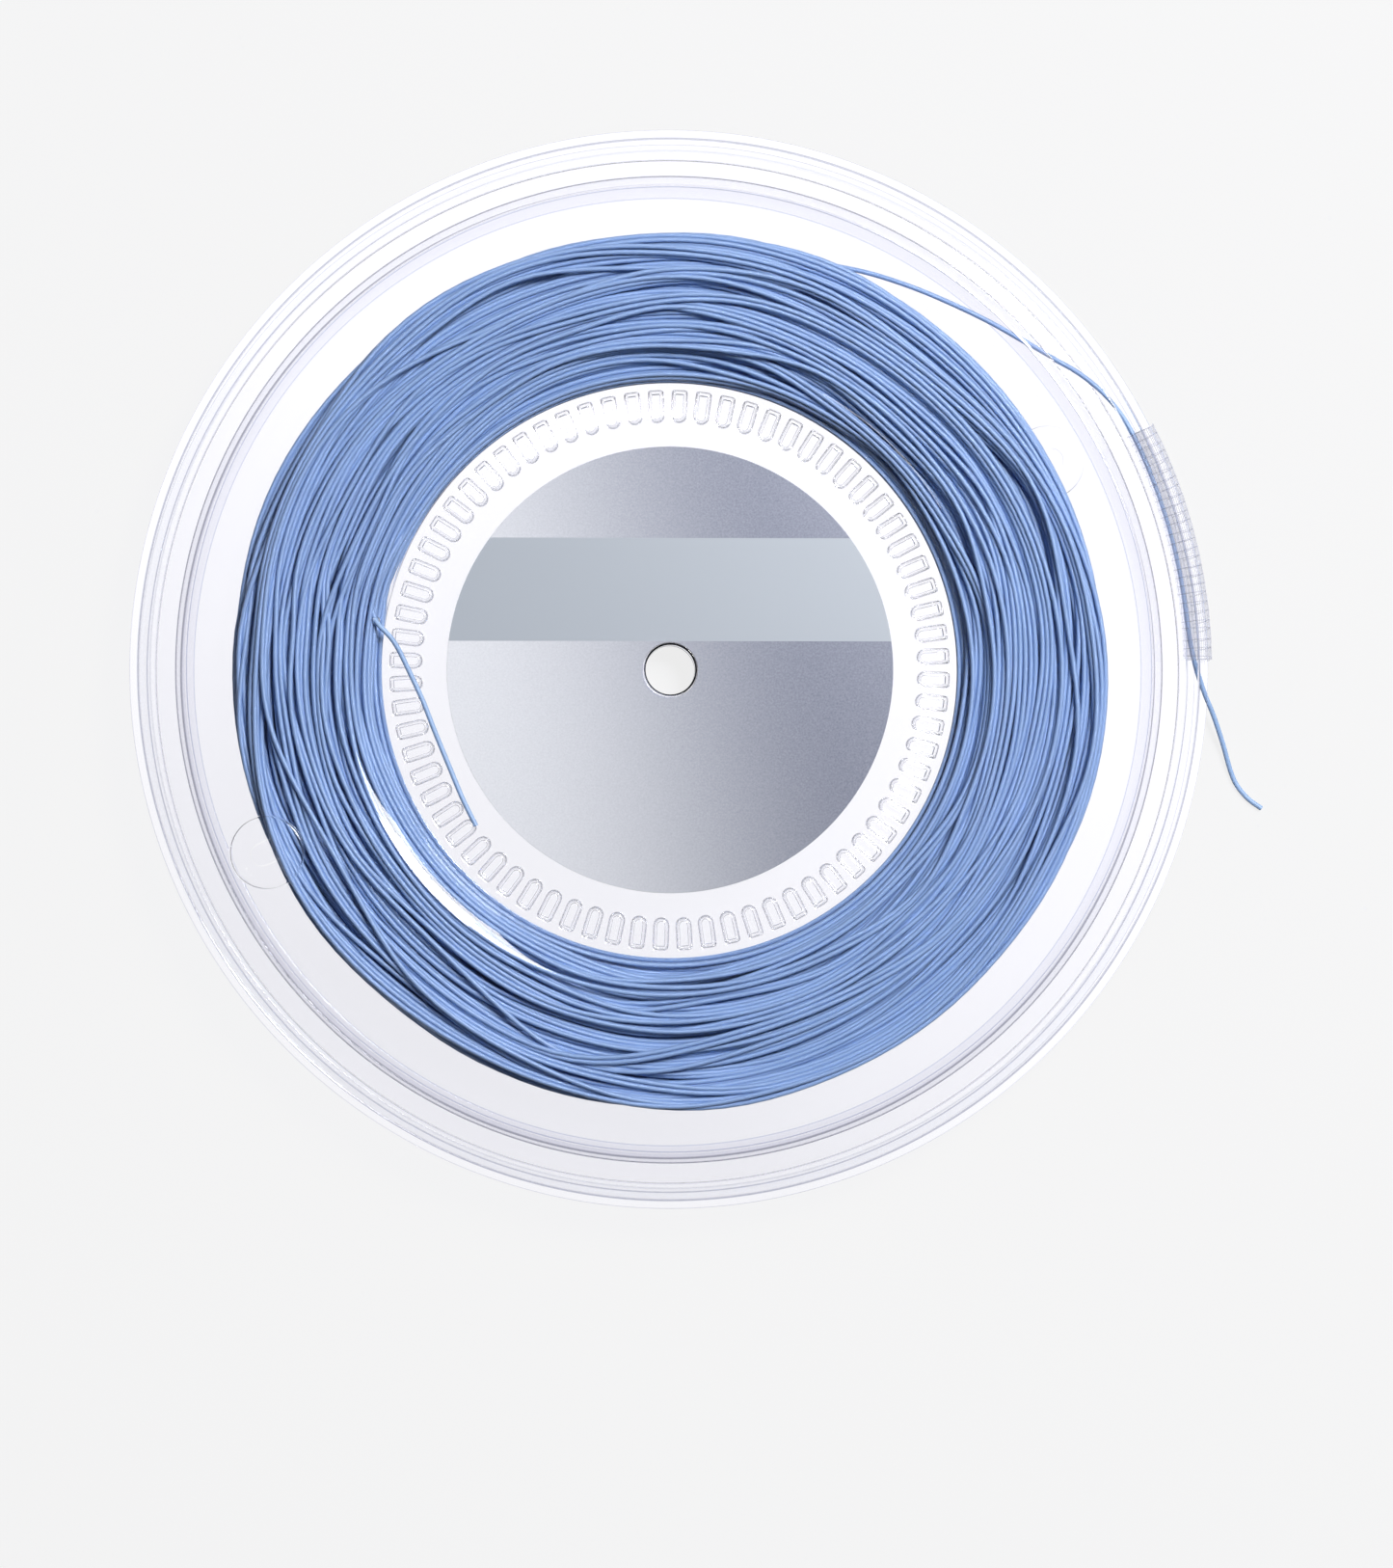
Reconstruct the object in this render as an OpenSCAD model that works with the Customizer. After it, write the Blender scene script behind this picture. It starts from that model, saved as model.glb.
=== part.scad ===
// Reel of racket string: two clear formed shells welded at the hub, a label on each side, the wound string
// with its two free ends, a strip of tape over the rim and a clamping tongue cut in each shell.
// It lies flat: the axis is +Z, and the back shell's rim stands on z = 0.

/* [Shell] */
// Radius of the rim
rim_r = 140; // [136:0.5:150]
// Thickness of the clear sheet
sheet = 0.8; // [0.6:0.1:1]
// Room between the two flanges where the string is wound
gap_w = 18; // [16:0.5:24]
// Depth of the stiffening groove near the rim
groove_depth = 2.5; // [1.5:0.1:3]
// Height of the rim lip above the groove
lip_height = 3.3; // [2.6:0.1:4]
// Width of the groove's flat floor
groove_w = 6.6; // [5:0.1:8]
// Width of each sloping side of the groove
slope_w = 2.8; // [2:0.1:3.4]
// Width of the flat rim lip
lip_w = 2.2; // [1.6:0.1:3]

/* [Hub] */
// Radius of the hub where the two shells meet
hub_r = 75; // [72:0.5:77]
// Radius of the curved wall from hub to flange
wall_r = 14; // [13:0.5:15]
// Depth of the hub floor below the flange
floor_depth = 7; // [6:0.1:7.2]
// Radius of the spindle hole
hole_r = 6.2; // [5:0.1:9]
// Height of the collar round the spindle hole, above the hub floor
collar_h = 1.5; // [0.8:0.1:2]
// Number of pockets round the hub
pockets = 72; // [48:1:80]
// Width of a pocket
pocket_w = 3.2; // [2.4:0.1:3.4]
// Length of a pocket
pocket_len = 8; // [5:0.5:10]
// Room between the pockets and the radius where the two shells meet
pocket_inset = 2.1; // [1.8:0.1:3]

/* [Labels] */
// Radius of the labels
label_r = 58.4; // [50:0.2:62]
// Thickness of the labels
label_t = 0.2; // [0.1:0.05:0.4]

/* [Tongue] */
// Room between the tongue's pad and the groove
pad_inset = 1.4; // [1:0.1:3]
// Radius of the round pad
pad_r = 9.2; // [8:0.1:9.5]
// Height of the pad above the flange
pad_h = 0.5; // [0.3:0.1:0.6]
// Width of the tongue
tongue_w = 5.6; // [4:0.1:7]
// Length of the tongue
tongue_len = 8; // [6:0.1:10]
// Width of the cut round the tongue
cut_w = 0.4; // [0.3:0.05:0.6]
// Direction of the front pad, in degrees from +X
front_pad_angle = 204.5; // [200:0.5:210]
// Direction of the back pad, in degrees from +X
back_pad_angle = 29; // [20:0.5:40]

/* [String] */
// Diameter of the string
string_d = 1.3; // [1.1:0.05:1.4]
// Room between the wound string and the groove
wound_inset = 11.4; // [10:0.2:18]
// Clearance between the string and the shells
string_clear = 0.4; // [0.3:0.05:0.6]
// Whole turns that show on the front face
face_turns = 17; // [8:1:17]
// Turns of the outer layer
rim_turns = 6; // [3:1:6]

/* [Tape] */
// Thickness of the rim tape
tape_t = 0.3; // [0.2:0.05:0.4]
// Reach of the tape onto the floor of the groove
tape_reach = 1; // [0.5:0.1:3]
// Direction of the tape's first end, in degrees from +X
tape_start = 1; // [0:1:4]
// Arc that the tape covers, in degrees
tape_span = 26; // [20:1:30]

/* [Hidden] */
$fn = 120;

// Heights of a shell are measured from the plane where the two shells meet, mid_z above the table
flange_z = gap_w / 2;
band_z = flange_z - groove_depth;
lip_z = band_z + lip_height;
mid_z = lip_z + sheet;
floor_z = flange_z - floor_depth;
pad_z = flange_z + pad_h;

// Radii of the rim lip and the groove, from the rim inwards, and of what lies inside the groove
lip_r = rim_r - lip_w;
band_out_r = lip_r - slope_w;
band_in_r = band_out_r - groove_w;
groove_r = band_in_r - slope_w;
pad_dist = groove_r - pad_inset - pad_r;
wound_r = groove_r - wound_inset;

// The curved wall is an arc: level where it joins the flange, and it would reach hub_r at mid height. It starts
// at the hub floor
wall_z = flange_z - wall_r;
wall_c = hub_r + sqrt(wall_r * wall_r - wall_z * wall_z);
outer_wall_r = wall_r + sheet;
floor_out_r = wall_c - sqrt(wall_r * wall_r - (floor_z - wall_z) * (floor_z - wall_z));
pocket_out_r = hub_r - pocket_inset;
pocket_mid_r = pocket_out_r - pocket_len + pocket_w / 2;

// Direction of one pocket. The back shell is turned over, and its pockets face the front ones
pocket_angle = 3;
back_turn = back_pad_angle + front_pad_angle;

// Overlap that joins two solids of one sheet, and reach of a cut past a face
join = 0.1;
past = 1;

// The label's hole is a little wider than the collar. The tape lies just off the rim, and ends above the table
label_hole_margin = 0.2;
tape_seat = 0.05;
tape_foot = 0.2;

// The winding: turns on the front face and round the outside, over a plain core. Its chords cut the corners
// of the circle by sag, so the core stays inside them
strand_r = string_d / 2;
layer_gap = 0.1;
chord_clear = 0.2;
wound_clear = string_clear + chord_clear;
loop_rings = 24;
sag = cos(180 / loop_rings);
face_turn_z = flange_z - wound_clear - strand_r;
face_arc_z = wall_z + wound_clear;
face_arc_r = face_turn_z - face_arc_z;
rim_turn_r = wound_r - strand_r;
face_in_inset = 4.5;
face_out_inset = 1;
face_in_r = hub_r + face_in_inset;
face_out_r = rim_turn_r - string_d - face_out_inset;
rim_step = 2 * face_turn_z / (rim_turns + 1);
outer_end = 79;
inner_end = 168;
face_loops = face_turns + (inner_end - outer_end) / 360;
loops = face_loops + rim_turns;
core_out_r = rim_turn_r * sag - strand_r - layer_gap;
core_top_z = face_turn_z - strand_r - layer_gap;
core_chamfer = 3;

// Free outer end: it leaves the winding, passes between the flanges and under the tape, and ends on the table
outer_tail_path = [
    [21.7, 111.5, 5.1], [31.5, 109.4, 5.4], [42.0, 107.2, 6.4], [52.5, 104.9, 7.4], [63.5, 101.3, 8.0],
    [74.0, 97.0, 8.0], [84.5, 92.0, 8.0], [93.0, 87.2, 8.0], [101.0, 82.6, 8.0], [108.0, 78.6, 8.0],
    [113.8, 74.0, 8.0], [118.4, 69.0, 8.0], [121.8, 63.8, 8.0], [125.0, 57.2, 8.0], [128.4, 48.6, 8.0],
    [131.6, 39.0, 8.0], [134.4, 28.0, 8.0], [136.4, 16.6, 7.8], [138.2, 5.4, 7.0], [141.2, -4.6, 5.6],
    [144.2, -11.4, 4.0], [147.0, -19.0, 2.4], [149.2, -26.0, 1.1], [151.0, -30.0, 0.7], [154.0, -33.6, 0.65],
    [157.6, -36.2, 0.65]
];

// Free inner end: it passes a hole in the curved wall and comes down to lie on the hub floor
inner_tail_path = [
    [-77.8, 16.5, 14.8], [-77.6, 14.6, 15.1], [-76.9, 12.8, 15.5], [-75.7, 11.2, 15.8], [-74.1, 9.6, 15.7],
    [-72.4, 7.6, 15.4], [-71.0, 5.4, 15.1], [-69.4, 2.2, 14.7], [-67.7, -1.4, 14.4], [-66.0, -5.0, 14.2],
    [-64.2, -9.1, 14.1], [-61.2, -16.8, 14.1], [-57.7, -25.3, 14.1], [-54.2, -33.7, 14.1], [-50.7, -40.8, 14.1]
];
tail_sides = 8;
tail_hole_r = 1.1;

// A smooth curve through a route's points, with some steps between two of them
function spline(a, b, c, d, t) = 0.5 * (2 * b + (c - a) * t + (2 * a - 5 * b + 4 * c - d) * t * t
    + (3 * b - a - 3 * c + d) * t * t * t);
function route(p, steps) = let (last = len(p) - 1) [
    for (i = [0 : last - 1]) for (k = [0 : steps - 1])
        spline(p[max(i - 1, 0)], p[i], p[i + 1], p[min(i + 2, last)], k / steps),
    p[last]
];

// One point of the winding: it spirals out over the front face, then climbs down the outside
function blend(a, b, t) = a + (b - a) * t;
function turn_r(t) = t < face_loops
    ? blend(face_in_r, face_out_r, t / face_loops)
    : blend(face_out_r, rim_turn_r, min(t - face_loops, 1));
function face_height(r) = let (d = max(wall_c - r, 0)) face_arc_z + sqrt(face_arc_r * face_arc_r - d * d);
function turn_z(t) = t < face_loops ? face_height(turn_r(t)) : face_turn_z - rim_step * (t - face_loops);
function turn_point(t) = let (a = outer_end + 360 * (loops - t), r = turn_r(t))
    [r * cos(a), r * sin(a), mid_z + turn_z(t)];
winding_rings = round(loops * loop_rings);
winding_points = [for (i = [0 : winding_rings]) turn_point(loops * i / winding_rings)];

// Least gap of the winding to itself, between each ring and those about one loop further on
function gap_after(i) = min([for (k = [i + loop_rings - 3 : i + loop_rings + 3])
    if (k <= winding_rings) norm(winding_points[k] - winding_points[i]) - string_d]);
least_gap = min([for (i = [0 : winding_rings - loop_rings]) gap_after(i)]);
echo(str("least gap of the winding to itself, in mm: ", least_gap));

// A tube swept along points, with flat ends
module tube(points, radius, sides) {
    last = len(points) - 1;
    dirs = [for (i = [0 : last]) points[min(i + 1, last)] - points[max(i - 1, 0)]];
    verts = [
        for (i = [0 : last])
            let (dir = dirs[i] / norm(dirs[i]), flat = cross(dir, [0, 0, 1]), side = flat / norm(flat))
                for (k = [0 : sides - 1])
                    let (a = 360 * (k + 0.5) / sides)
                        points[i] + radius * (cos(a) * side + sin(a) * cross(side, dir))
    ];
    walls = [
        for (i = [0 : last - 1]) for (k = [0 : sides - 1])
            let (a = i * sides + k, b = i * sides + (k + 1) % sides)
                each [[a, b, a + sides], [b, b + sides, a + sides]]
    ];
    caps = [
        for (k = [1 : sides - 2])
            each [[0, k + 1, k], [last * sides, last * sides + k, last * sides + k + 1]]
    ];
    polyhedron(verts, concat(walls, caps), convexity = 10);
}

// Section of a shell from the hub floor out to the rim, with the string side below
module shell_section() {
    polygon([
        [wall_c - join, flange_z], [groove_r, flange_z], [band_in_r, band_z], [band_out_r, band_z],
        [lip_r, lip_z], [rim_r, lip_z], [rim_r, lip_z + sheet], [lip_r, lip_z + sheet],
        [band_out_r, band_z + sheet], [band_in_r, band_z + sheet], [groove_r, flange_z + sheet],
        [wall_c - join, flange_z + sheet]
    ]);
    intersection() {
        difference() {
            translate([wall_c, wall_z])
                circle(outer_wall_r);
            translate([wall_c, wall_z])
                circle(wall_r);
        }
        translate([wall_c - outer_wall_r, floor_z])
            square([outer_wall_r, flange_z + sheet - floor_z]);
    }
}

// Outline of one pocket or, grown by the sheet, of its walls: round at its inner end
module pocket_outline(grow) {
    translate([pocket_mid_r, 0])
        circle(pocket_w / 2 + grow);
    translate([pocket_mid_r, -pocket_w / 2 - grow])
        square([pocket_out_r - pocket_mid_r + grow, pocket_w + 2 * grow]);
}

module pocket_ring(angle, grow) {
    for (i = [0 : pockets - 1])
        rotate(angle + 360 * i / pockets)
            pocket_outline(grow);
}

// The hub: a floor, pockets that reach down to those of the other shell, and the spindle hole with its collar
module hub(angle) {
    linear_extrude(sheet)
        pocket_ring(angle, sheet);
    linear_extrude(floor_z + sheet)
        difference() {
            pocket_ring(angle, sheet);
            pocket_ring(angle, 0);
        }
    translate([0, 0, floor_z]) {
        linear_extrude(sheet)
            difference() {
                circle(floor_out_r);
                circle(hole_r);
                pocket_ring(angle, 0);
            }
        linear_extrude(sheet + collar_h)
            difference() {
                circle(hole_r + sheet);
                circle(hole_r);
            }
    }
}

// Outline of a tongue: square at its root, towards the axis, and round at its free end
module tongue_outline(margin) {
    translate([-tongue_len / 2, -tongue_w / 2 - margin])
        square([tongue_len - tongue_w / 2, tongue_w + 2 * margin]);
    translate([tongue_len / 2 - tongue_w / 2, 0])
        circle(tongue_w / 2 + margin);
}

// Places its children at the pad, at a height above the plane where the shells meet
module at_pad(height) {
    rotate(front_pad_angle)
        translate([pad_dist, 0, height])
            children();
}

// One shell, placed as the front one, with its round pad, the cut round the tongue and the string's hole
module shell(angle) {
    difference() {
        union() {
            rotate_extrude()
                shell_section();
            hub(angle);
            at_pad(pad_z)
                cylinder(r = pad_r, h = sheet);
        }
        at_pad(flange_z - past)
            cylinder(r = pad_r - sheet / 2, h = past + pad_h);
        at_pad(pad_z - past)
            linear_extrude(sheet + 2 * past)
                tongue_outline(cut_w);
        string_hole();
    }
}

// Slanting hole in the curved wall, along the inner end of the string
module string_hole() {
    run = inner_tail_path[3] - inner_tail_path[1];
    turn = atan2(run[1], run[0]);
    tilt = acos(run[2] / norm(run));
    translate(inner_tail_path[2] - [0, 0, mid_z])
        rotate([0, tilt, turn])
            cylinder(r = tail_hole_r, h = norm(run) + past, center = true);
}

module tongue() {
    at_pad(pad_z)
        linear_extrude(sheet)
            tongue_outline(0);
}

module label() {
    translate([0, 0, floor_z + sheet])
        linear_extrude(label_t)
            difference() {
                circle(label_r);
                circle(hole_r + sheet + label_hole_margin);
            }
}

// The front pieces stand above mid height, and the back ones are the same turned over
module as_front() {
    translate([0, 0, mid_z])
        children();
}

module as_back() {
    translate([0, 0, mid_z])
        rotate(back_turn)
            rotate([180, 0, 0])
                children();
}

module front_shell() {
    color("white", 0.4)
        as_front()
            shell(pocket_angle);
}

module back_shell() {
    color("white", 0.4)
        as_back()
            shell(back_turn - pocket_angle);
}

module front_label() {
    color("silver")
        as_front()
            label();
}

module back_label() {
    color("silver")
        as_back()
            label();
}

module front_tongue() {
    color("whitesmoke", 0.6)
        as_front()
            tongue();
}

module back_tongue() {
    color("whitesmoke", 0.6)
        as_back()
            tongue();
}

// Wound string under its outer layer, with a chamfer where the outer layer turns the corner
module string_core() {
    color("steelblue")
        translate([0, 0, mid_z])
            rotate_extrude() {
                polygon([
                    [wall_c - join, string_clear - flange_z], [core_out_r, string_clear - flange_z],
                    [core_out_r, core_top_z - core_chamfer], [core_out_r - core_chamfer, core_top_z],
                    [wall_c - join, core_top_z]
                ]);
                intersection() {
                    translate([wall_c, face_arc_z])
                        circle(core_top_z - face_arc_z);
                    translate([wall_c, -wall_z])
                        circle(wall_r - string_clear);
                    translate([wall_c - wall_r, -flange_z])
                        square([wall_r, gap_w]);
                }
            }
}

module string_winding() {
    color("lightsteelblue")
        tube(winding_points, strand_r, 6);
}

module outer_tail() {
    color("lightsteelblue")
        tube(route(outer_tail_path, 2), strand_r, tail_sides);
}

module inner_tail() {
    color("lightsteelblue")
        tube(route(inner_tail_path, 2), strand_r, tail_sides);
}

// Tape over the rim: it follows the groove's side and the lip of the front shell, then goes down the outside
module rim_tape() {
    in_r = band_out_r - tape_reach;
    out_r = rim_r + tape_seat;
    top = lip_z + sheet;
    band = band_z + sheet;
    miter = tape_t * tan(atan2(lip_height, slope_w) / 2);
    color("gainsboro", 0.7)
        translate([0, 0, mid_z])
            rotate(tape_start)
                rotate_extrude(angle = tape_span)
                    polygon([
                        [in_r, band], [band_out_r, band], [lip_r, top], [out_r, top], [out_r, tape_foot - mid_z],
                        [out_r + tape_t, tape_foot - mid_z], [out_r + tape_t, top + tape_t],
                        [lip_r - miter, top + tape_t], [band_out_r - miter, band + tape_t],
                        [in_r, band + tape_t]
                    ]);
}

front_shell();
back_shell();
front_label();
back_label();
front_tongue();
back_tongue();
string_core();
string_winding();
outer_tail();
inner_tail();
rim_tape();
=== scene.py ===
# Reel of racket string: two clear formed PET shells, foil labels, blue polyester string with two free ends, and tape.
import math

import bmesh
import bpy
import numpy as np
from mathutils import Matrix, Vector


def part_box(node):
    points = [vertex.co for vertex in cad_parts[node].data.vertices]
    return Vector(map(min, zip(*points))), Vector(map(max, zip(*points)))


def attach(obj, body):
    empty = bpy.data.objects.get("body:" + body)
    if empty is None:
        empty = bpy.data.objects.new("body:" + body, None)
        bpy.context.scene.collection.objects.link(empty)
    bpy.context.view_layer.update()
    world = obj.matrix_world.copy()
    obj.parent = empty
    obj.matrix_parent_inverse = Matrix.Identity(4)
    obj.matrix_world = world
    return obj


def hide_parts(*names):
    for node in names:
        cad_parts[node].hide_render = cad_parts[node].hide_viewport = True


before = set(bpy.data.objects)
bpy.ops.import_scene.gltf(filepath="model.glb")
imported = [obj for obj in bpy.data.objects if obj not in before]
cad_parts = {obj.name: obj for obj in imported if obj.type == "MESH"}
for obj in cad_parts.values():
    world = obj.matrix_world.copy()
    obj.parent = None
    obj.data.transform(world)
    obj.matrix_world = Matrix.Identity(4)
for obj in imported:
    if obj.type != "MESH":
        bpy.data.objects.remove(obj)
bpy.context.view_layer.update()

MM = 0.001

# Sizes are in millimetres and angles in degrees. Heights on a shell are measured from the plane where the two meet
RIM_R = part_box("front_shell")[1].y / MM
MID_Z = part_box("front_shell")[0].z / MM
SHEET = 0.8
WALL_T = 0.5
FLANGE_Z = 9.4
GROOVE_Z = 6.9
LIP_Z = 10.2
GROOVE_IN_R = 125.6
GROOVE_FLOOR_R = (128.4, 135.0)
LIP_R = 137.8
FOLD_R = 0.55
FLAT_OUT_R = 124.0
WALL_FOOT_R = 0.7
WALL_R = 14.4
WALL_CENTRE = (88.08, -5.0)
FLOOR_Z = 2.4
WELL_Z = 0.4
COLLAR_R = 6.6
COLLAR_Z = 4.3
COLLAR_FOOT_R = 0.5
POCKETS = 72
POCKET_STEPS = 6
POCKET_PHASE = {"front": 3.0, "back": 230.5}
POCKET_W = 4.0
POCKET_TAPER = 0.5
POCKET_IN_R = 64.9
POCKET_OUT_R = 73.3
POCKET_CORNER_R = 0.7
POCKET_FOLDS = ((WELL_Z, 0.6), (FLOOR_Z, 0.35))
FLOOR_EDGE_R = 62.5
LAND_R = 74.4
LABEL_R = 58.4
LABEL_HOLE_R = 7.2
LABEL_T = 0.2
LABEL_EDGE = (0.08, 0.05)
PAD_DIST = 115.0
PAD_R = 9.2
PAD_RISE = 0.5
# The pad's rounded edge: radius beside PAD_R, and share of its rise
PAD_EDGE = ((0.55, 0.0), (0.36, 0.08), (0.2, 0.3), (0.08, 0.72), (-0.08, 0.94), (-0.4, 1.0))
PAD_WINDOW = 9.85
PAD_WINDOW_ANGLE = 5.6
TONGUE_W = 5.6
TONGUE_LEN = 8.0
CUT_W = 0.4
CUT_MARGIN = CUT_W * 0.8
CUT_EDGE = 0.15
FRONT_PAD_ANGLE = 204.5
BACK_PAD_ANGLE = 29.0
STRING_D = 1.3
# Angle, radius and height
EXIT_HOLE = (170.7, 77.8, 4.95)
EXIT_HOLE_R = 1.1
RINGS = POCKETS * POCKET_STEPS
WELD = 0.02
CREASE_ANGLE = 40


def linear(colour):
    """Linear RGBA of an sRGB hex colour."""
    parts = [int(colour[i : i + 2], 16) / 255 for i in (1, 3, 5)]
    return [c / 12.92 if c <= 0.04045 else ((c + 0.055) / 1.055) ** 2.4 for c in parts] + [1.0]


def node(material, kind, settings=None, links=None):
    """Adds a node. Settings name a property or an input, by name or number; links give an input its socket."""
    made = material.node_tree.nodes.new(kind)
    for name, value in (settings or {}).items():
        if isinstance(name, str) and hasattr(made, name):
            setattr(made, name, value)
        else:
            made.inputs[name].default_value = value
    for name, socket in (links or {}).items():
        material.node_tree.links.new(socket, made.inputs[name])
    return made


def new_material(name):
    """An empty node material."""
    material = bpy.data.materials.new(name)
    material.use_nodes = True
    material.node_tree.nodes.clear()
    return material


def show(material, shader):
    """Gives a material its finished shader."""
    node(material, "ShaderNodeOutputMaterial", {}, {"Surface": shader})
    return material


# ---------------------------------------------------------------- camera

LENS = 88.43
EYE = (-24.016, -39.186, 1019.911)
FORWARD = (0.030654, 0.009263, -0.999487)


def set_camera():
    """A long lens about a metre above the reel, looking almost straight down its axis."""
    camera = bpy.data.objects.new("camera", bpy.data.cameras.new("camera"))
    bpy.context.scene.collection.objects.link(camera)
    camera.data.sensor_fit = "VERTICAL"
    camera.data.sensor_height = 36.0
    camera.data.lens = LENS
    camera.data.clip_start = 0.05
    camera.data.clip_end = 50.0
    eye = Vector(EYE) * MM
    forward = Vector(FORWARD).normalized()
    right = forward.cross(Vector((0, 1, 0))).normalized()
    up = right.cross(forward)
    camera.matrix_world = Matrix.Translation(eye) @ Matrix((right, up, -forward)).transposed().to_4x4()
    bpy.context.scene.camera = camera


# ---------------------------------------------------------------- the string's free ends

# The routes of the two free ends, in millimetres, as in the part's source
OUTER_TAIL = [
    (21.7, 111.5, 5.1), (31.5, 109.4, 5.4), (42.0, 107.2, 6.4), (52.5, 104.9, 7.4), (63.5, 101.3, 8.0),
    (74.0, 97.0, 8.0), (84.5, 92.0, 8.0), (93.0, 87.2, 8.0), (101.0, 82.6, 8.0), (108.0, 78.6, 8.0),
    (113.8, 74.0, 8.0), (118.4, 69.0, 8.0), (121.8, 63.8, 8.0), (125.0, 57.2, 8.0), (128.4, 48.6, 8.0),
    (131.6, 39.0, 8.0), (134.4, 28.0, 8.0), (136.4, 16.6, 7.8), (138.2, 5.4, 7.0), (141.2, -4.6, 5.6),
    (144.2, -11.4, 4.0), (147.0, -19.0, 2.4), (149.2, -26.0, 1.1), (151.0, -30.0, 0.7), (154.0, -33.6, 0.65),
    (157.6, -36.2, 0.65),
]
INNER_TAIL = [
    (-77.8, 16.5, 14.8), (-77.6, 14.6, 15.1), (-76.9, 12.8, 15.5), (-75.7, 11.2, 15.8), (-74.1, 9.6, 15.7),
    (-72.4, 7.6, 15.4), (-71.0, 5.4, 15.1), (-69.4, 2.2, 14.7), (-67.7, -1.4, 14.4), (-66.0, -5.0, 14.2),
    (-64.2, -9.1, 14.1), (-61.2, -16.8, 14.1), (-57.7, -25.3, 14.1), (-54.2, -33.7, 14.1), (-50.7, -40.8, 14.1),
]


def spline_through(points, steps):
    """Points of a smooth curve through a route, with some steps between two of its points."""
    p = np.array([points[0], *points, points[-1]], float)
    made = []
    for i in range(1, len(p) - 2):
        a, b, c, d = p[i - 1 : i + 3]
        for t in np.arange(steps) / steps:
            made.append(0.5 * (2 * b + (c - a) * t + (2 * a - 5 * b + 4 * c - d) * t**2
                               + (3 * b - a - 3 * c + d) * t**3))
    return np.array(made + [p[-1]])


def strand(name, points, material, sides_level=2):
    """A length of string along points in millimetres: a curve with a round section."""
    curve = bpy.data.curves.new(name, "CURVE")
    curve.dimensions = "3D"
    curve.bevel_depth = STRING_D / 2 * MM
    curve.bevel_resolution = sides_level
    curve.use_fill_caps = True
    spline = curve.splines.new("POLY")
    spline.points.add(len(points) - 1)
    spline.points.foreach_set("co", np.hstack([points * MM, np.ones((len(points), 1))]).ravel())
    piece = bpy.data.objects.new(name, curve)
    bpy.context.scene.collection.objects.link(piece)
    curve.materials.append(material)
    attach(piece, "reel")
    return piece


def free_end(name, route, material):
    """A free end of the string, as a curve that stands for its solid."""
    points = spline_through(route, 6)
    piece = strand(name + "_string", points, material, 4)
    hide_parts(name)


# ---------------------------------------------------------------- the wound string

TURN_STATIONS = 120
# In radians, unlike the other angles
STATION_ANGLE = math.tau / TURN_STATIONS
WINDING_SEED = 11
WINDING_OUT_R = 113.2
WINDING_EDGE_R = 113.9
WINDING_START = 169.0
TURN_PITCH = 1.42
DRUM_R = 75.0
# Room left between a strand and the sheet
CLEARANCE = 0.3
# Earlier turns that a new turn can rest on, the most turns, and the stations of a turn that overlap the one before
TURNS_UNDER = 50
MOST_TURNS = 420
OVERLAP = 12
# A pass stops short of the flange by up to this, most often by little
SHORT_OF_FLANGE = 4.4
SHORT_POWER = 1.8
# The sideways sway of a turn: bends in a turn, what it keeps from the last turn, and its least and added size
SWAY_BENDS = 6
SWAY_KEPT, SWAY_NEW = 0.15, 0.99
SWAY_LEAST, SWAY_ADDED = 0.15, 0.65
# Radii where turns start to lie loosely and where the last ones are neat again, and over how much that changes
LOOSE_FROM, LOOSE_OVER = 78, 8
NEAT_FROM, NEAT_OVER, NEAT_LEAST = 116, 6, 0.3
# How far a turn may settle sideways, and what a step away from its place costs it
SLIDE = 0.8
SLIDE_COST = 0.3
# Smoothing widths, in stations
SLIDE_SMOOTH, RADIUS_SMOOTH, PATH_R_SMOOTH, PATH_Z_SMOOTH, EDGE_SMOOTH = 15, 7, 5, 9, 25
# The outermost turns, by whose radius the pile is made round
EDGE_TURNS, EDGE_LAP = 12, 30
# Stations kept of the last turn, and stations over which each end of the path is led to its free end
LAST_STATIONS = 30
LEAD_IN, LEAD_OUT = 12, 40
# The most turns in one piece, which keeps it light enough
TURNS_IN_PIECE = 75


def smooth_step(t):
    """Eases a share from 0 to 1."""
    return t * t * (3 - 2 * t)


def smooth_row(values, width):
    """Smooths values along a row, over a width in stations."""
    weights = np.hanning(width + 2)[1:-1]
    return np.convolve(np.pad(values, width // 2, mode="edge"), weights / weights.sum(), mode="valid")


def smooth_ring(values, width, lap):
    """Smooths values that go once round, with a lap of them added at both ends and taken off again."""
    return smooth_row(np.concatenate([values[-lap:], values, values[:lap]]), width)[lap:-lap]


def taut(r):
    """Radii of string that is pulled straight over the high places of a row of stations."""
    angle = STATION_ANGLE * np.arange(len(r))
    x, y = r * np.cos(angle), r * np.sin(angle)
    high = []
    for i in range(len(r)):
        while len(high) > 1:
            a, b = high[-2:]
            if (x[b] - x[a]) * (y[i] - y[a]) > (y[b] - y[a]) * (x[i] - x[a]):
                break
            high.pop()
        high.append(i)
    made = np.empty(len(r))
    for a, b in zip(high[:-1], high[1:]):
        gone, left = angle[a : b + 1] - angle[a], angle[b] - angle[a : b + 1]
        made[a : b + 1] = r[a] * r[b] * math.sin(angle[b] - angle[a]) / (r[a] * np.sin(gone) + r[b] * np.sin(left))
    return made


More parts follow.
